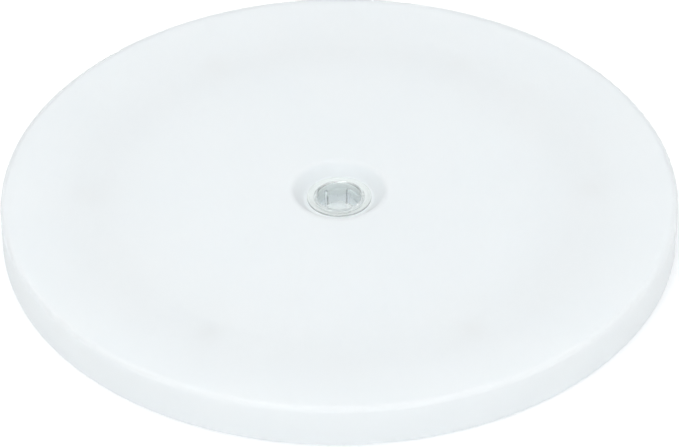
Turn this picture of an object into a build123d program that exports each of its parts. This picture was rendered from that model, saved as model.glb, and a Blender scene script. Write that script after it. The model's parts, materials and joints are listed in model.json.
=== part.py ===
from build123d import *
import os
from math import cos, degrees, radians, sin

# Lazy susan turntable: a round top plate, with a deep skirt that hides the base, rolls on a ring of rollers
# over a ribbed base plate. A clear hub, snapped into the base, keeps the two plates together.
# Millimetres, +Z up. The origin is the centre of the circle of feet, on the table that they stand on.

# ---- driving dimensions: plates ----
plate_radius = 152.5  # outside of the top plate's skirt
plate_wall = 2.6  # moulded thickness of every web and skirt
top_edge_gap = 1.0  # the top plate's skirt ends this far above the table
top_height = 20.0  # top plate, skirt edge to serving surface
top_edge_radius = 2.5  # rounded rim of the serving surface
skirt_edge_radius = 0.5  # softened free edges of both skirts
base_edge_gap = 1.6  # the base plate's skirt ends this far above the table
base_height = 7.4  # base plate, skirt edge to web top
base_rim_radius = 1.0  # rounded top edge of the base plate
skirt_clearance = 1.0  # between the base plate and the top plate's skirt round it

# ---- driving dimensions: race and roller ring ----
track_radius = 113.5  # centre line of the track that the rollers run on
track_width = 12.0
track_height = 0.6  # both tracks stand this proud of their webs
track_clearance = 0.05  # between a roller and each track
roller_count = 6
roller_width = 9.0
roller_crown = 0.2  # a roller's ends are this much smaller in radius than its middle
roller_end_chamfer = 0.4
window_clearance = 0.5  # round a roller in its window of the ring
ring_width = 17.0
ring_thickness = 3.0
ring_clearance = 0.5  # between the ring and the guide ribs on the base
housing_length = 46.0  # thick stretch of the ring round each roller
housing_height = 5.0
relief_width = 5.0  # arc slots that save material between the housings
relief_arc = 26.0  # degrees
guide_thickness = 1.5
guide_height = 5.0
axle_radius = 1.0
axle_clearance = 0.1  # between an axle and the roller that turns on it
axle_fit = 0.02  # between an axle and the ring that holds it
axle_seat = 3.0  # how far an axle reaches into the ring at each end
axle_chamfer = 0.2

# ---- driving dimensions: hub and the dimple that it sits in ----
dimple_depth = 5.4
dimple_floor_radius = 16.0
dimple_lip_radius = 21.4
dimple_lip_fillet = 4.0
dimple_floor_fillet = 1.5
boss_gap = 0.5  # between the base's centre boss and the dimple above it
boss_radius = 20.0
flange_gap = 0.3  # between the hub's flange and the dimple floor
flange_radius = 14.6
flange_edge = 0.7  # thickness of the flange's thin rim
flange_edge_fillet = 0.3
crest_radius = 12.6  # the flange is flat inside this and slopes down outside it
crest_rise = 1.4  # flat of the flange above its underside
crest_fillet = 0.5
pocket_rim_chamfer = 0.5
pocket_rim_fillet = 0.3
journal_radius = 11.5  # the top plate turns round this
journal_clearance = 0.1
spigot_radius = 11.0  # the stretch of the hub that sits in the base's boss
spigot_clearance = 0.05
pocket_rim_radius = 9.9
pocket_floor_radius = 9.4
pocket_depth = 10.8
pocket_floor_thickness = 1.6
pocket_fillet = 0.4
hub_slot_count = 6
hub_slot_width = 1.6
hub_slot_angle = 6.0  # degrees from +X to the first slot
hub_slot_rise = 1.0  # slots end this far above the base's boss
hook_reach = 0.9  # each snap finger's hook reaches this far out under the boss
hook_height = 2.4
hook_land = 0.8  # blunt edge of a hook, above its lead-in slope
hook_root_depth = 0.5  # a hook starts this deep in its finger
finger_gap = 0.7  # between a snap finger and the pocket's floor

# ---- driving dimensions: underside of the base ----
rib_thickness = 1.8
rib_foot_gap = 0.4  # the ribs end this far above the tops of the feet's pads
rib_ring_radius = 62.0
rib_count = 12
foot_count = 6
foot_circle_radius = 136.0
foot_angle = 30.0  # degrees from +X to the first foot
foot_radius = 6.5
foot_pad_height = 3.0
foot_edge_radius = 0.8
foot_stem_radius = 3.0
foot_stem_height = 3.0
foot_stem_clearance = 0.05
foot_stem_headroom = 0.2

# ---- levels that follow ----
base_edge = base_edge_gap
base_top = base_edge + base_height
base_under = base_top - plate_wall
rib_bottom = foot_pad_height + rib_foot_gap
top_edge = top_edge_gap
top_surface = top_edge + top_height
top_under = top_surface - plate_wall
lower_track = base_top + track_height
upper_track = top_under - track_height
axle_height = (lower_track + upper_track) / 2
roller_radius = (upper_track - lower_track) / 2 - track_clearance
ring_inner_radius = track_radius - ring_width / 2
ring_outer_radius = track_radius + ring_width / 2
window_length = roller_width + 2 * window_clearance
window_width = 2 * (roller_radius + window_clearance)
dimple_floor = top_surface - dimple_depth
boss_top = dimple_floor - plate_wall - boss_gap
boss_under = boss_top - plate_wall
flange_under = dimple_floor + flange_gap
crest_height = flange_under + crest_rise
pocket_floor = crest_height - pocket_depth
hub_bottom = pocket_floor - pocket_floor_thickness
base_radius = plate_radius - plate_wall - skirt_clearance
base_inner_radius = base_radius - plate_wall

os.makedirs("parts", exist_ok=True)
hair = 1e-3  # slack when an edge is looked up by its size


def upright_plane(angle, height=0.0):
    """Vertical plane through the turntable's axis: x points outward at this angle, y points up."""
    outward = (cos(radians(angle)), sin(radians(angle)), 0)
    sideways = (sin(radians(angle)), -cos(radians(angle)), 0)
    return Plane(origin=(0, 0, height), x_dir=outward, z_dir=sideways)


def outward_plane(angle, radius, height):
    """Plane that faces outward at this angle, this far from the turntable's axis."""
    x, y = cos(radians(angle)), sin(radians(angle))
    return Plane(origin=(radius * x, radius * y, height), z_dir=(x, y, 0))


def round_edges(builder, radius, height):
    """The builder's circular edges of this radius at this height."""
    circles = builder.edges().filter_by(GeomType.CIRCLE)
    level = circles.filter_by_position(Axis.Z, height - hair, height + hair)
    return level.filter_by(lambda edge: abs(edge.radius - radius) < hair)


def ring_section(inner_radius, outer_radius, bottom, top):
    """Section of a plain ring, in an upright plane."""
    with Locations((inner_radius, bottom)):
        Rectangle(outer_radius - inner_radius, top - bottom, align=Align.MIN)


def finish(builder, name):
    builder.part.label = name
    export_step(builder.part, f"parts/{name}.step")


# ---- top plate: flat serving surface with a dimple at its centre and a skirt round its rim ----
with BuildPart() as top_plate:
    with BuildSketch(Plane.XZ):
        with BuildLine():
            Polyline(
                (journal_radius + journal_clearance, dimple_floor),
                (dimple_floor_radius, dimple_floor),
                (dimple_lip_radius, top_surface),
                (plate_radius, top_surface),
                (plate_radius, top_edge),
            )
            offset(amount=plate_wall, side=Side.RIGHT)
        make_face()
        ring_section(track_radius - track_width / 2, track_radius + track_width / 2, upper_track, top_under)
    revolve(axis=Axis.Z)
    fillet(round_edges(top_plate, plate_radius, top_surface), top_edge_radius)
    fillet(round_edges(top_plate, dimple_lip_radius, top_surface), dimple_lip_fillet)
    fillet(round_edges(top_plate, dimple_floor_radius, dimple_floor), dimple_floor_fillet)
    fillet(round_edges(top_plate, plate_radius, top_edge), skirt_edge_radius)
finish(top_plate, "top_plate")

# ---- base plate: a ribbed disc with the lower track, two guide ribs and a centre boss ----
with BuildPart() as base_plate:
    with BuildSketch(Plane.XZ):
        with BuildLine():
            Polyline(
                (spigot_radius + spigot_clearance, boss_top),
                (boss_radius, boss_top),
                (boss_radius, base_top),
                (base_radius, base_top),
                (base_radius, base_edge),
            )
            offset(amount=plate_wall, side=Side.RIGHT)
        make_face()
        ring_section(track_radius - track_width / 2, track_radius + track_width / 2, base_top, lower_track)
        inner_guide = ring_inner_radius - ring_clearance
        ring_section(inner_guide - guide_thickness, inner_guide, base_top, base_top + guide_height)
        outer_guide = ring_outer_radius + ring_clearance
        ring_section(outer_guide, outer_guide + guide_thickness, base_top, base_top + guide_height)
        for radius in (rib_ring_radius, track_radius):
            half = rib_thickness / 2
            ring_section(radius - half, radius + half, rib_bottom, base_under)
    revolve(axis=Axis.Z)
    fillet(round_edges(base_plate, base_radius, base_top), base_rim_radius)
    fillet(round_edges(base_plate, base_radius, base_edge), skirt_edge_radius)
    boss_inner_radius = boss_radius - plate_wall
    with BuildSketch(Plane.XY.offset(rib_bottom)):
        with PolarLocations(0, rib_count):
            with Locations((boss_inner_radius, 0)):
                rib_length = base_inner_radius - boss_inner_radius
                Rectangle(rib_length, rib_thickness, align=(Align.MIN, Align.CENTER))
    extrude(amount=base_under - rib_bottom)
    with BuildSketch(Plane.XY.offset(foot_pad_height)):
        with PolarLocations(foot_circle_radius, foot_count, start_angle=foot_angle):
            Circle(foot_radius)
    extrude(until=Until.NEXT)
    with BuildSketch(Plane.XY.offset(foot_pad_height)):
        with PolarLocations(foot_circle_radius, foot_count, start_angle=foot_angle):
            Circle(foot_stem_radius + foot_stem_clearance)
    extrude(amount=foot_stem_height + foot_stem_headroom, mode=Mode.SUBTRACT)
finish(base_plate, "base_plate")

# ---- hub: clear cup with a rounded flange, split below into three snap fingers and three plain walls ----
slot_top = boss_top + hub_slot_rise
slot_pitch = 360 / hub_slot_count
slot_half_angle = degrees(hub_slot_width / 2 / spigot_radius)
finger_arc = slot_pitch - 2 * slot_half_angle
first_finger = hub_slot_angle + slot_half_angle
finger_starts = [first_finger + slot_pitch * step for step in range(0, hub_slot_count, 2)]
finger_back_radius = pocket_floor_radius - finger_gap
with BuildPart() as hub:
    with BuildSketch(Plane.XZ):
        with BuildLine():
            Polyline(
                (0, hub_bottom),
                (spigot_radius, hub_bottom),
                (spigot_radius, boss_top),
                (journal_radius, boss_top),
                (journal_radius, flange_under),
                (flange_radius, flange_under),
                (flange_radius, flange_under + flange_edge),
                (crest_radius, crest_height),
                (pocket_rim_radius + pocket_rim_chamfer, crest_height),
                (pocket_rim_radius, crest_height - pocket_rim_chamfer),
                (pocket_floor_radius, pocket_floor),
                (0, pocket_floor),
                close=True,
            )
        make_face()
    revolve(axis=Axis.Z)
    fillet(round_edges(hub, flange_radius, flange_under), flange_edge_fillet)
    fillet(round_edges(hub, flange_radius, flange_under + flange_edge), flange_edge_fillet)
    fillet(round_edges(hub, crest_radius, crest_height), crest_fillet)
    fillet(round_edges(hub, pocket_rim_radius + pocket_rim_chamfer, crest_height), pocket_rim_fillet)
    fillet(round_edges(hub, pocket_floor_radius, pocket_floor), pocket_fillet)
    with BuildSketch(Plane.XY.offset(hub_bottom)):
        with PolarLocations(0, hub_slot_count, start_angle=hub_slot_angle):
            with Locations((finger_back_radius, 0)):
                Rectangle(spigot_radius, hub_slot_width, align=(Align.MIN, Align.CENTER))
    extrude(amount=slot_top - hub_bottom, mode=Mode.SUBTRACT)
    for angle in finger_starts:
        with BuildSketch(upright_plane(angle)):
            ring_section(finger_back_radius, pocket_floor_radius, hub_bottom, pocket_floor + pocket_fillet)
        revolve(axis=Axis.Z, revolution_arc=finger_arc, mode=Mode.SUBTRACT)
        with BuildSketch(upright_plane(angle)):
            with BuildLine():
                Polyline(
                    (spigot_radius - hook_root_depth, boss_under),
                    (spigot_radius + hook_reach, boss_under),
                    (spigot_radius + hook_reach, boss_under - hook_land),
                    (spigot_radius - hook_root_depth, boss_under - hook_height),
                    close=True,
                )
            make_face()
        revolve(axis=Axis.Z, revolution_arc=finger_arc)
finish(hub, "hub")

# ---- roller ring: flat ring with a thick housing and a window at each roller ----
roller_pitch = 360 / roller_count
ring_bottom = axle_height - ring_thickness / 2
housing_bottom = axle_height - housing_height / 2
axle_start = track_radius - window_length / 2 - axle_seat
axle_length = window_length + 2 * axle_seat
with BuildPart() as roller_ring:
    with BuildSketch(Plane.XY.offset(ring_bottom)):
        Circle(ring_outer_radius)
        Circle(ring_inner_radius, mode=Mode.SUBTRACT)
    extrude(amount=ring_thickness)
    with BuildSketch(Plane.XY.offset(housing_bottom)):
        with PolarLocations(track_radius, roller_count):
            Rectangle(2 * ring_width, housing_length)
        Circle(ring_outer_radius, mode=Mode.INTERSECT)
        Circle(ring_inner_radius, mode=Mode.SUBTRACT)
    extrude(amount=housing_height)
    with BuildSketch(Plane.XY.offset(housing_bottom)):
        with PolarLocations(track_radius, roller_count):
            Rectangle(window_length, window_width)
        with PolarLocations(0, roller_count, start_angle=roller_pitch / 2):
            with BuildLine():
                relief_path = CenterArc((0, 0), track_radius, -relief_arc / 2, relief_arc)
            SlotArc(relief_path, relief_width)
    extrude(amount=housing_height, mode=Mode.SUBTRACT)
    for index in range(roller_count):
        with BuildSketch(outward_plane(index * roller_pitch, axle_start, axle_height)):
            Circle(axle_radius + axle_fit)
        extrude(amount=ring_width, mode=Mode.SUBTRACT)
finish(roller_ring, "roller_ring")

# ---- rollers and their axles: each axle points outward from the turntable's axis ----
for index in range(roller_count):
    axle_angle = index * roller_pitch
    axle_plane = upright_plane(axle_angle, axle_height)
    roller_start = track_radius - roller_width / 2
    roller_end = track_radius + roller_width / 2
    with BuildPart() as roller:
        with BuildSketch(axle_plane):
            with BuildLine():
                ThreePointArc(
                    (roller_start, roller_radius - roller_crown),
                    (track_radius, roller_radius),
                    (roller_end, roller_radius - roller_crown),
                )
                Polyline(
                    (roller_end, roller_radius - roller_crown),
                    (roller_end, axle_radius + axle_clearance),
                    (roller_start, axle_radius + axle_clearance),
                    (roller_start, roller_radius - roller_crown),
                )
            make_face()
        revolve(axis=Axis(axle_plane.origin, axle_plane.x_dir))
        circles = roller.edges().filter_by(GeomType.CIRCLE)
        rims = circles.filter_by(lambda edge: edge.radius > axle_radius + axle_clearance + hair)
        chamfer(rims, roller_end_chamfer)
    finish(roller, f"roller_{index + 1}")
    with BuildPart() as axle:
        with BuildSketch(outward_plane(axle_angle, axle_start, axle_height)):
            Circle(axle_radius)
        extrude(amount=axle_length)
        chamfer(axle.edges().filter_by(GeomType.CIRCLE), axle_chamfer)
    finish(axle, f"roller_axle_{index + 1}")

# ---- feet: soft pads whose stems are pushed into blind sockets in the base ----
for index in range(foot_count):
    foot_direction = foot_angle + index * 360 / foot_count
    foot_x = foot_circle_radius * cos(radians(foot_direction))
    foot_y = foot_circle_radius * sin(radians(foot_direction))
    with BuildPart() as foot:
        with BuildSketch(Plane((foot_x, foot_y, 0))):
            Circle(foot_radius)
        extrude(amount=foot_pad_height)
        with BuildSketch(Plane((foot_x, foot_y, foot_pad_height))):
            Circle(foot_stem_radius)
        extrude(amount=foot_stem_height)
        fillet(foot.edges().filter_by(GeomType.CIRCLE).sort_by(Axis.Z)[0], foot_edge_radius)
    finish(foot, f"foot_{index + 1}")
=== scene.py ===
import json
from math import cos, radians, sin

import bmesh
import bpy
from mathutils import Matrix, Vector


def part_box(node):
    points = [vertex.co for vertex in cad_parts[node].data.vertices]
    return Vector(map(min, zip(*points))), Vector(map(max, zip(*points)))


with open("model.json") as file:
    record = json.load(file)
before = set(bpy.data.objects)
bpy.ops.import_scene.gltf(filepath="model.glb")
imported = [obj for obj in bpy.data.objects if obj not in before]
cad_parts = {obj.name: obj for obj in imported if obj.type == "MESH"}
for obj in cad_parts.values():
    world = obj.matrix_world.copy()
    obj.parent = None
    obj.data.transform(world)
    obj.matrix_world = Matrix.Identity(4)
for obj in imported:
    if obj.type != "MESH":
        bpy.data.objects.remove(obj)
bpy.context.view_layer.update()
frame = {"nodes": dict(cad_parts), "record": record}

bl_info = {
    "name": "Lazy susan turntable",
    "version": (1, 0, 0),
    "blender": (4, 5, 0),
    "location": "View3D > Sidebar > Turntable",
    "description": "Finishes for each piece of a lazy susan turntable, and the studio it stands in",
    "category": "Material",
}

MM = 0.001
WHITE = (1.0, 1.0, 1.0)
EVEN_DEPTH = (1.0, 1.0, 1.0)  # red, green and blue light travel equally far in the plastics
POLYPROPYLENE_IOR = 1.49
STYRENIC_IOR = 1.51
ACETAL_IOR = 1.48
ELASTOMER_IOR = 1.5
GRAIN_SPREAD = 0.06  # the plates' roughness wanders this far either way with the tool's grain
TRACK_POLISH = 0.08  # and is this much lower where the rollers have run
RING_GLOW_DEPTH = 1.0 * MM
PAPER_FIBRE = 2.5 * MM
SENSOR_WIDTH = 36  # millimetres

# name, the setting with its power, side of the square and place, in metres
SOFTBOXES = (
    ("key_softbox", "key_power", 2.4, (-0.5, -1.6, 3.8)),
    ("fill_softbox", "fill_power", 1.2, (2.4, -1.6, 0.7)),
    ("back_softbox", "back_power", 1.6, (-0.3, 2.0, 1.5)),
)


def linear(code):
    """Linear red, green and blue of an sRGB hex colour."""
    channels = [int(code[place : place + 2], 16) / 255 for place in (1, 3, 5)]
    return tuple(c / 12.92 if c <= 0.04045 else ((c + 0.055) / 1.055) ** 2.4 for c in channels)


def opaque(colour):
    return (*colour, 1.0)


def add_node(tree, kind, settings=None, **sockets):
    """A new node. settings are its properties. Each socket takes a value or the output that feeds it."""
    node = tree.nodes.new(kind)
    for name, value in (settings or {}).items():
        setattr(node, name, value)
    for name, value in sockets.items():
        key = int(name[1:]) if name[1:].isdigit() else name.replace("_", " ")
        if isinstance(value, bpy.types.NodeSocket):
            tree.links.new(value, node.inputs[key])
        else:
            node.inputs[key].default_value = value
    return node


def new_material(name):
    """An empty material, its tree and the piece's own coordinates in metres."""
    material = bpy.data.materials.new(name)
    material.use_nodes = True
    tree = material.node_tree
    tree.nodes.clear()
    place = add_node(tree, "ShaderNodeTexCoord").outputs["Object"]
    return material, tree, place


def close_material(tree, shader):
    add_node(tree, "ShaderNodeOutputMaterial", Surface=shader)


def turned_distance(tree, place):
    """Distance from the axis that the top plate turns about."""
    apart = add_node(tree, "ShaderNodeSeparateXYZ", Vector=place)
    flat = add_node(tree, "ShaderNodeCombineXYZ", X=apart.outputs["X"], Y=apart.outputs["Y"])
    size = add_node(tree, "ShaderNodeVectorMath", {"operation": "LENGTH"}, Vector=flat.outputs[0])
    return size.outputs["Value"]


def band(tree, value, middle, half_width):
    """1 where the value is at the middle, falling smoothly to 0 at the half width."""
    off = add_node(tree, "ShaderNodeMath", {"operation": "SUBTRACT"}, _0=value, _1=middle)
    size = add_node(tree, "ShaderNodeMath", {"operation": "ABSOLUTE"}, _0=off.outputs[0])
    return add_node(
        tree,
        "ShaderNodeMapRange",
        {"interpolation_type": "SMOOTHSTEP"},
        Value=size.outputs[0],
        From_Min=0.0,
        From_Max=half_width,
        To_Min=1.0,
        To_Max=0.0,
    ).outputs[0]


def noise(tree, place, size, detail):
    """A cloudy pattern from 0 to 1 with patches of this size."""
    return add_node(tree, "ShaderNodeTexNoise", Vector=place, Scale=1 / size, Detail=detail).outputs["Fac"]


def two_tone(tree, pattern, first, second):
    """One colour running into another as the pattern goes from 0 to 1."""
    mix = add_node(
        tree,
        "ShaderNodeMix",
        {"data_type": "RGBA"},
        _0=pattern,
        _6=opaque(first),
        _7=opaque(second),
    )
    return mix.outputs[2]


def relief(tree, height, strength, depth):
    """A surface direction that follows a pattern's height."""
    bump = add_node(tree, "ShaderNodeBump", Strength=strength, Distance=depth, Height=height)
    return bump.outputs["Normal"]


def track_radius():
    """Where the rollers run: the roller joints stand this far from the middle."""
    return max(Vector(joint["pos_m"]).xy.length for joint in frame["record"]["behaviour"]["joints"])


def on_track(tree, place, width):
    """1 along the middle of the rollers' track, falling to 0 at its edges."""
    return band(tree, turned_distance(tree, place), track_radius(), width / 2)


def spread(tree, value, low, high):
    """A pattern from 0 to 1, brought between two values."""
    return add_node(tree, "ShaderNodeMapRange", Value=value, To_Min=low, To_Max=high).outputs[0]


def lit_through(tree, shader, colour, share):
    """The shader, with this share of lamp light and soft light passing each surface of a thin wall."""
    ray = add_node(tree, "ShaderNodeLightPath")
    soft = add_node(
        tree,
        "ShaderNodeMath",
        {"operation": "MAXIMUM"},
        _0=ray.outputs["Is Shadow Ray"],
        _1=ray.outputs["Is Diffuse Ray"],
    )
    passed = add_node(tree, "ShaderNodeMath", {"operation": "MULTIPLY"}, _0=soft.outputs[0], _1=share)
    clear = add_node(tree, "ShaderNodeBsdfTransparent", Color=opaque(colour))
    both = add_node(
        tree,
        "ShaderNodeMixShader",
        _0=passed.outputs[0],
        _1=shader.outputs[0],
        _2=clear.outputs[0],
    )
    return both.outputs[0]


def translucent_polypropylene(finish):
    # Milky homopolymer polypropylene, injection moulded against a fine spark-eroded tool. Light goes a few
    # millimetres into it and comes back, so it looks soft and slightly cool and its edges glow. Some light
    # passes both walls, so the space between the plates is lit and dark things in it show as faint grey
    # patches. The tool's grain gives a broad satin sheen.
    material, tree, place = new_material("translucent_moulded_polypropylene")
    clouds = noise(tree, place, finish.flow_size, 2.0)
    grain = noise(tree, place, finish.grain_size, 3.0)
    low, high = finish.roughness - GRAIN_SPREAD, finish.roughness + GRAIN_SPREAD
    rough = add_node(
        tree,
        "ShaderNodeMath",
        {"operation": "MULTIPLY_ADD"},
        _0=on_track(tree, place, finish.wear_width),
        _1=-TRACK_POLISH,
        _2=spread(tree, grain, low, high),
    )
    shader = add_node(
        tree,
        "ShaderNodeBsdfPrincipled",
        {"subsurface_method": "RANDOM_WALK"},
        Base_Color=two_tone(tree, clouds, finish.colour, finish.flow_colour),
        Roughness=rough.outputs[0],
        IOR=POLYPROPYLENE_IOR,
        Subsurface_Weight=finish.milkiness,
        Subsurface_Radius=EVEN_DEPTH,
        Subsurface_Scale=finish.glow_depth,
        Transmission_Weight=finish.see_through,
        Specular_IOR_Level=finish.gloss,
        Normal=relief(tree, grain, 0.06, 0.05 * MM),
    )
    close_material(tree, lit_through(tree, shader, finish.colour, finish.leak))
    return material


def clear_styrenic(finish):
    # Clear styrenic plastic, injection moulded in a polished tool. It bends what is behind it, its rounded
    # flange shows bright soft glints, and it looks faintly green-grey where it is thick.
    material, tree, place = new_material("clear_moulded_styrenic")
    swirl = noise(tree, place, finish.swirl_size, 2.0)
    shader = add_node(
        tree,
        "ShaderNodeBsdfPrincipled",
        Base_Color=opaque(finish.colour),
        Roughness=spread(tree, swirl, 0.02, 0.07),
        IOR=STYRENIC_IOR,
        Transmission_Weight=finish.clearness,
        Normal=relief(tree, swirl, 0.15, 0.1 * MM),
    )
    close_material(tree, lit_through(tree, shader, finish.colour, 1.0))
    return material


def grey_polypropylene(finish):
    # Pale grey polypropylene, injection moulded with no surface grain. It looks waxy, with a soft sheen,
    # and darkens the plate above it only a little.
    material, tree, place = new_material("grey_moulded_polypropylene")
    clouds = noise(tree, place, finish.flow_size, 2.0)
    shader = add_node(
        tree,
        "ShaderNodeBsdfPrincipled",
        Base_Color=two_tone(tree, clouds, finish.ring_colour, finish.ring_flow_colour),
        Roughness=spread(tree, clouds, 0.34, 0.46),
        IOR=POLYPROPYLENE_IOR,
        Subsurface_Weight=0.3,
        Subsurface_Radius=EVEN_DEPTH,
        Subsurface_Scale=RING_GLOW_DEPTH,
        Normal=relief(tree, clouds, 0.1, 0.05 * MM),
    )
    close_material(tree, shader.outputs[0])
    return material


def moulded_acetal(finish):
    # Dark grey acetal, moulded and then run in. It is dense and slick, dark enough to show through the top
    # plate, and the middle of each roller is burnished where it meets the tracks.
    material, tree, place = new_material("dark_moulded_acetal")
    grain = noise(tree, place, finish.grain_size, 4.0)
    burnished = on_track(tree, place, finish.wear_width)
    shader = add_node(
        tree,
        "ShaderNodeBsdfPrincipled",
        Base_Color=two_tone(tree, grain, finish.roller_colour, finish.roller_wear_colour),
        Roughness=spread(tree, burnished, 0.42, 0.22),
        IOR=ACETAL_IOR,
        Normal=relief(tree, grain, 0.08, 0.03 * MM),
    )
    close_material(tree, shader.outputs[0])
    return material


def ground_steel(finish):
    # Stainless pin, centreless ground. A cool grey metal whose fine scratches stretch its highlights.
    material, tree, place = new_material("ground_stainless_steel")
    marks = noise(tree, place, finish.scratch_size, 5.0)
    shader = add_node(
        tree,
        "ShaderNodeBsdfPrincipled",
        Base_Color=opaque(finish.axle_colour),
        Metallic=1.0,
        Roughness=spread(tree, marks, 0.18, 0.38),
        Normal=relief(tree, marks, 0.2, 0.01 * MM),
    )
    close_material(tree, shader.outputs[0])
    return material


def soft_elastomer(finish):
    # Pale thermoplastic elastomer, moulded matt. It looks dry and dusty, with almost no highlight.
    material, tree, place = new_material("moulded_matt_elastomer")
    dust = noise(tree, place, finish.dust_size, 6.0)
    shader = add_node(
        tree,
        "ShaderNodeBsdfPrincipled",
        Base_Color=two_tone(tree, dust, finish.colour, finish.dust_colour),
        Roughness=spread(tree, dust, 0.7, 0.9),
        IOR=ELASTOMER_IOR,
        Normal=relief(tree, dust, 0.3, 0.05 * MM),
    )
    close_material(tree, shader.outputs[0])
    return material


def studio_paper(studio):
    # Matt white background paper, lit a little from behind so that it stays brighter than the plastic.
    material, tree, place = new_material("lit_background_paper")
    fibre = noise(tree, place, PAPER_FIBRE, 3.0)
    shader = add_node(
        tree,
        "ShaderNodeBsdfPrincipled",
        Base_Color=spread(tree, fibre, 0.86, 0.9),
        Roughness=0.9,
        Emission_Color=opaque(WHITE),
        Emission_Strength=studio.paper_glow,
    )
    close_material(tree, shader.outputs[0])
    return material


def finish_nodes(names, material):
    """Gives CAD nodes a finish."""
    for name in names:
        piece = frame["nodes"][name]
        piece.data.materials.clear()
        piece.data.materials.append(material)


def nodes_named(start):
    found = [name for name in frame["nodes"] if name.startswith(start) and name[len(start) :].isdigit()]
    if not found:
        raise RuntimeError(f"the frame has no node whose name starts with {start}")
    return sorted(found)


class PlateFinish(bpy.types.PropertyGroup):
    colour: bpy.props.FloatVectorProperty(
        name="Colour", description="Body colour of the plates", subtype="COLOR", size=3,
        default=linear("#F3F6F8"),
    )
    flow_colour: bpy.props.FloatVectorProperty(
        name="Flow colour", description="Colour of faint clouds left by the melt", subtype="COLOR", size=3,
        default=linear("#F0F4F6"),
    )
    flow_size: bpy.props.FloatProperty(
        name="Flow size", description="Width of one cloud", default=30 * MM, subtype="DISTANCE",
        unit="LENGTH",
    )
    grain_size: bpy.props.FloatProperty(
        name="Grain size", description="Tool grain, drawn coarser than the real 0.05 mm so that it shows",
        default=0.9 * MM, subtype="DISTANCE", unit="LENGTH",
    )
    roughness: bpy.props.FloatProperty(
        name="Roughness", description="Middle roughness of the grained surface", default=0.55,
        subtype="FACTOR",
    )
    milkiness: bpy.props.FloatProperty(
        name="Milkiness", description="Share of the light that goes into the plastic", default=0.8,
        subtype="FACTOR",
    )
    glow_depth: bpy.props.FloatProperty(
        name="Glow depth", description="How far light travels in the plastic", default=3 * MM,
        subtype="DISTANCE", unit="LENGTH",
    )
    see_through: bpy.props.FloatProperty(
        name="See-through", description="Share of the light that passes straight on, blurred", default=0.37,
        subtype="FACTOR",
    )
    gloss: bpy.props.FloatProperty(
        name="Gloss", description="Strength of the grained surface's reflection", default=0.3,
        subtype="FACTOR",
    )
    leak: bpy.props.FloatProperty(
        name="Leak", description="Share of the light that each surface lets through", default=0.75,
        subtype="FACTOR",
    )
    wear_width: bpy.props.FloatProperty(
        name="Wear width", description="Width of the polished line on each track", default=5 * MM,
        subtype="DISTANCE", unit="LENGTH",
    )


class HubFinish(bpy.types.PropertyGroup):
    colour: bpy.props.FloatVectorProperty(
        name="Colour", description="Tint of the clear hub", subtype="COLOR", size=3,
        default=linear("#F9FBFA"),
    )
    clearness: bpy.props.FloatProperty(
        name="Clearness", description="Share of the light that passes instead of clouding", default=0.86,
        subtype="FACTOR",
    )
    swirl_size: bpy.props.FloatProperty(
        name="Swirl size", description="Size of the faint waves that moulding leaves", default=3 * MM,
        subtype="DISTANCE", unit="LENGTH",
    )


class RunningGearFinish(bpy.types.PropertyGroup):
    ring_colour: bpy.props.FloatVectorProperty(
        name="Ring colour", description="Colour of the roller ring", subtype="COLOR", size=3,
        default=linear("#BFC3C6"),
    )
    ring_flow_colour: bpy.props.FloatVectorProperty(
        name="Ring flow colour", description="Colour of the ring's faint clouds", subtype="COLOR", size=3,
        default=linear("#B6BABD"),
    )
    roller_colour: bpy.props.FloatVectorProperty(
        name="Roller colour", description="Colour of the rollers", subtype="COLOR", size=3,
        default=linear("#3D4042"),
    )
    roller_wear_colour: bpy.props.FloatVectorProperty(
        name="Roller wear colour", description="Colour of the rollers' fine speckle", subtype="COLOR",
        size=3, default=linear("#36393B"),
    )
    axle_colour: bpy.props.FloatVectorProperty(
        name="Axle colour", description="Colour of the steel axles", subtype="COLOR", size=3,
        default=linear("#C9CACC"),
    )
    flow_size: bpy.props.FloatProperty(
        name="Flow size", description="Width of one cloud in the ring", default=6 * MM, subtype="DISTANCE",
        unit="LENGTH",
    )
    grain_size: bpy.props.FloatProperty(
        name="Grain size", description="Size of the rollers' speckle", default=0.6 * MM, subtype="DISTANCE",
        unit="LENGTH",
    )
    scratch_size: bpy.props.FloatProperty(
        name="Scratch size", description="Spacing of the grinding marks", default=0.2 * MM,
        subtype="DISTANCE", unit="LENGTH",
    )
    wear_width: bpy.props.FloatProperty(
        name="Wear width", description="Width of the burnished band on a roller", default=5 * MM,
        subtype="DISTANCE", unit="LENGTH",
    )


class FootFinish(bpy.types.PropertyGroup):
    colour: bpy.props.FloatVectorProperty(
        name="Colour", description="Colour of the feet", subtype="COLOR", size=3, default=linear("#D5D8DA")
    )
    dust_colour: bpy.props.FloatVectorProperty(
        name="Dust colour", description="Colour of the dust on the feet", subtype="COLOR", size=3,
        default=linear("#C6C8C8"),
    )
    dust_size: bpy.props.FloatProperty(
        name="Dust size", description="Size of the dust patches", default=1.5 * MM, subtype="DISTANCE",
        unit="LENGTH",
    )


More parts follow.
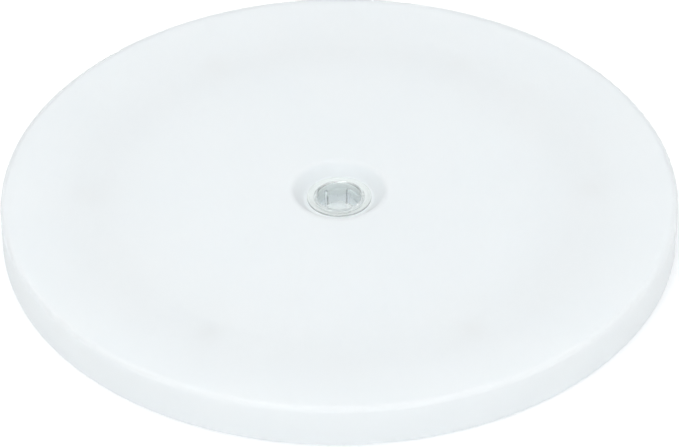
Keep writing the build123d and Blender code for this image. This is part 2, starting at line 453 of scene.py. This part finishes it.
class StudioSettings(bpy.types.PropertyGroup):
    paper_radius: bpy.props.FloatProperty(
        name="Paper radius", description="Radius of the floor", default=6.0, subtype="DISTANCE",
        unit="LENGTH",
    )
    paper_glow: bpy.props.FloatProperty(
        name="Paper glow", description="Light that the background paper gives off", default=0.15, min=0.0
    )
    sky_strength: bpy.props.FloatProperty(
        name="Sky strength", description="Even light from all round", default=0.69, min=0.0
    )
    key_power: bpy.props.FloatProperty(
        name="Key power", description="Power of the large lamp above the camera", default=80.0, unit="POWER"
    )
    fill_power: bpy.props.FloatProperty(
        name="Fill power", description="Power of the low lamp at the right", default=6.0, unit="POWER"
    )
    back_power: bpy.props.FloatProperty(
        name="Back power", description="Power of the lamp behind the turntable", default=3.0, unit="POWER"
    )
    camera_distance: bpy.props.FloatProperty(
        name="Camera distance", description="From the middle of the serving surface", default=1.6775,
        subtype="DISTANCE", unit="LENGTH",
    )
    camera_elevation: bpy.props.FloatProperty(
        name="Camera elevation", description="Angle above the serving surface", default=radians(37.30),
        subtype="ANGLE", unit="ROTATION",
    )
    camera_dip: bpy.props.FloatProperty(
        name="Camera dip", description="How far below the turntable's middle the camera aims",
        default=radians(0.539), subtype="ANGLE", unit="ROTATION",
    )
    camera_roll: bpy.props.FloatProperty(
        name="Camera roll", description="Lean of the camera about its own line of sight",
        default=radians(-0.4965), subtype="ANGLE", unit="ROTATION",
    )
    focal_length: bpy.props.FloatProperty(
        name="Focal length", description="Lens in millimetres on a 36 mm sensor", default=197.3,
        unit="CAMERA",
    )


class LAZYSUSAN_OT_plates(bpy.types.Operator):
    """Finish the top and base plates as translucent moulded polypropylene"""

    bl_idname = "lazy_susan.plates"
    bl_label = "Plates"

    def execute(self, context):
        finish_nodes(["top_plate", "base_plate"], translucent_polypropylene(context.scene.turntable_plates))
        return {"FINISHED"}


class LAZYSUSAN_OT_hub(bpy.types.Operator):
    """Finish the centre hub as clear moulded plastic"""

    bl_idname = "lazy_susan.hub"
    bl_label = "Hub"

    def execute(self, context):
        finish_nodes(["hub"], clear_styrenic(context.scene.turntable_hub))
        return {"FINISHED"}


class LAZYSUSAN_OT_roller_ring(bpy.types.Operator):
    """Finish the ring that carries the rollers"""

    bl_idname = "lazy_susan.roller_ring"
    bl_label = "Roller ring"

    def execute(self, context):
        finish_nodes(["roller_ring"], grey_polypropylene(context.scene.turntable_gear))
        return {"FINISHED"}


class LAZYSUSAN_OT_rollers(bpy.types.Operator):
    """Finish the rollers as moulded acetal"""

    bl_idname = "lazy_susan.rollers"
    bl_label = "Rollers"

    def execute(self, context):
        finish_nodes(nodes_named("roller_"), moulded_acetal(context.scene.turntable_gear))
        return {"FINISHED"}


class LAZYSUSAN_OT_axles(bpy.types.Operator):
    """Finish the rollers' axles as ground steel"""

    bl_idname = "lazy_susan.axles"
    bl_label = "Axles"

    def execute(self, context):
        finish_nodes(nodes_named("roller_axle_"), ground_steel(context.scene.turntable_gear))
        return {"FINISHED"}


class LAZYSUSAN_OT_feet(bpy.types.Operator):
    """Finish the feet as matt elastomer"""

    bl_idname = "lazy_susan.feet"
    bl_label = "Feet"

    def execute(self, context):
        finish_nodes(nodes_named("foot_"), soft_elastomer(context.scene.turntable_feet))
        return {"FINISHED"}


def aim(thing, place, target, roll=0.0):
    """Puts a lamp or camera somewhere, looking at a target."""
    turn = (Vector(target) - Vector(place)).to_track_quat("-Z", "Y").to_matrix().to_4x4()
    thing.matrix_world = Matrix.Translation(place) @ turn @ Matrix.Rotation(roll, 4, "Z")


def add_softbox(name, power, side, place, target):
    lamp = bpy.data.lights.new(name, "AREA")
    lamp.shape = "SQUARE"
    lamp.size = side
    lamp.energy = power
    holder = bpy.data.objects.new(name, lamp)
    bpy.context.scene.collection.objects.link(holder)
    aim(holder, place, target)


class LAZYSUSAN_OT_stage(bpy.types.Operator):
    """Lay the floor and set the lamps and the camera"""

    bl_idname = "lazy_susan.stage"
    bl_label = "Studio"

    def execute(self, context):
        studio = context.scene.turntable_studio
        low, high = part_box("top_plate")
        middle = Vector(((low[0] + high[0]) / 2, (low[1] + high[1]) / 2, high[2]))
        self.lay_floor(studio)
        self.light_room(context.scene, studio)
        for name, power, side, place in SOFTBOXES:
            add_softbox(name, getattr(studio, power), side, place, middle)
        self.set_camera(context.scene, studio, middle)
        return {"FINISHED"}

    def lay_floor(self, studio):
        mesh = bmesh.new()
        bmesh.ops.create_circle(mesh, cap_ends=True, segments=96, radius=studio.paper_radius)
        data = bpy.data.meshes.new("floor")
        mesh.to_mesh(data)
        mesh.free()
        data.materials.append(studio_paper(studio))
        floor = bpy.data.objects.new("floor", data)
        bpy.context.scene.collection.objects.link(floor)

    def light_room(self, scene, studio):
        world = bpy.data.worlds.new("studio_room")
        world.use_nodes = True
        tree = world.node_tree
        tree.nodes.clear()
        sky = add_node(tree, "ShaderNodeBackground", Color=opaque(WHITE), Strength=studio.sky_strength)
        add_node(tree, "ShaderNodeOutputWorld", Surface=sky.outputs[0])
        scene.world = world
        scene.view_settings.view_transform = "Standard"

    def set_camera(self, scene, studio, middle):
        back = Vector((0, -cos(studio.camera_elevation), sin(studio.camera_elevation)))
        place = middle + studio.camera_distance * back
        aimed = studio.camera_elevation + studio.camera_dip
        target = place - studio.camera_distance * Vector((0, -cos(aimed), sin(aimed)))
        lens = bpy.data.cameras.new("camera")
        lens.lens = studio.focal_length
        lens.sensor_width = SENSOR_WIDTH
        camera = bpy.data.objects.new("camera", lens)
        scene.collection.objects.link(camera)
        aim(camera, place, target, studio.camera_roll)
        scene.camera = camera


class LAZYSUSAN_PT_panel(bpy.types.Panel):
    bl_label = "Lazy susan turntable"
    bl_idname = "LAZYSUSAN_PT_panel"
    bl_space_type = "VIEW_3D"
    bl_region_type = "UI"
    bl_category = "Turntable"

    def draw(self, context):
        for operator in OPERATORS:
            self.layout.operator(operator.bl_idname)


SETTINGS = {
    "turntable_plates": PlateFinish,
    "turntable_hub": HubFinish,
    "turntable_gear": RunningGearFinish,
    "turntable_feet": FootFinish,
    "turntable_studio": StudioSettings,
}
OPERATORS = (
    LAZYSUSAN_OT_stage,
    LAZYSUSAN_OT_plates,
    LAZYSUSAN_OT_hub,
    LAZYSUSAN_OT_roller_ring,
    LAZYSUSAN_OT_rollers,
    LAZYSUSAN_OT_axles,
    LAZYSUSAN_OT_feet,
)


def register():
    for group in SETTINGS.values():
        bpy.utils.register_class(group)
    for name, group in SETTINGS.items():
        setattr(bpy.types.Scene, name, bpy.props.PointerProperty(type=group))
    for operator in OPERATORS:
        bpy.utils.register_class(operator)
    bpy.utils.register_class(LAZYSUSAN_PT_panel)


def unregister():
    bpy.utils.unregister_class(LAZYSUSAN_PT_panel)
    for operator in reversed(OPERATORS):
        bpy.utils.unregister_class(operator)
    for name, group in SETTINGS.items():
        delattr(bpy.types.Scene, name)
        bpy.utils.unregister_class(group)


def main():
    register()
    bpy.ops.lazy_susan.stage()
    bpy.ops.lazy_susan.plates()
    bpy.ops.lazy_susan.hub()
    bpy.ops.lazy_susan.roller_ring()
    bpy.ops.lazy_susan.rollers()
    bpy.ops.lazy_susan.axles()
    bpy.ops.lazy_susan.feet()


if __name__ == "__main__":
    main()
